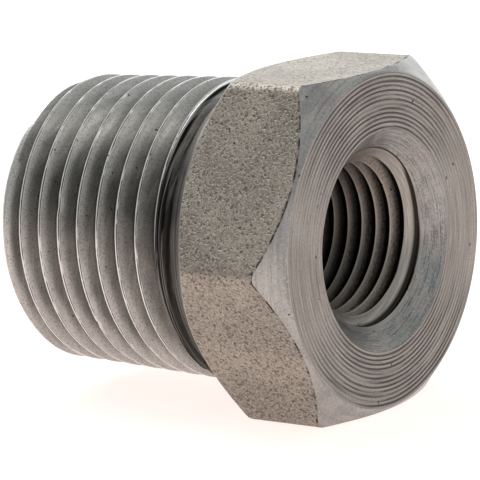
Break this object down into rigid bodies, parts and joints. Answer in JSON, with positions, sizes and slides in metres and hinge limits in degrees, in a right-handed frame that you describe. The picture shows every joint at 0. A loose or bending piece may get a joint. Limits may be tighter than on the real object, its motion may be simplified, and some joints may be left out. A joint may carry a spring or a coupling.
{
  "type": "hex reducing bushing",
  "caption": "Hex-head reducing bushing for pipe: tapered male thread on one end, smaller tapered female thread in the turned face of the hexagon.",
  "frame": {"origin": "on the thread axis, in the plane of the small end of the male thread", "axes": "+X along the thread axis towards the turned face of the hexagon; +Z square to the upper flat, so one flat of the hexagon faces straight down; +Y towards a corner of the hexagon"},
  "size_m": [0.0212, 0.0218, 0.019],
  "materials": {
    "steel": "bare forged and turned carbon steel, dull grey, pitted rolled flats, turned face and threads"
  },
  "bodies": {
    "root": {"hex_bushing": "steel"}
  },
  "joints": []
}
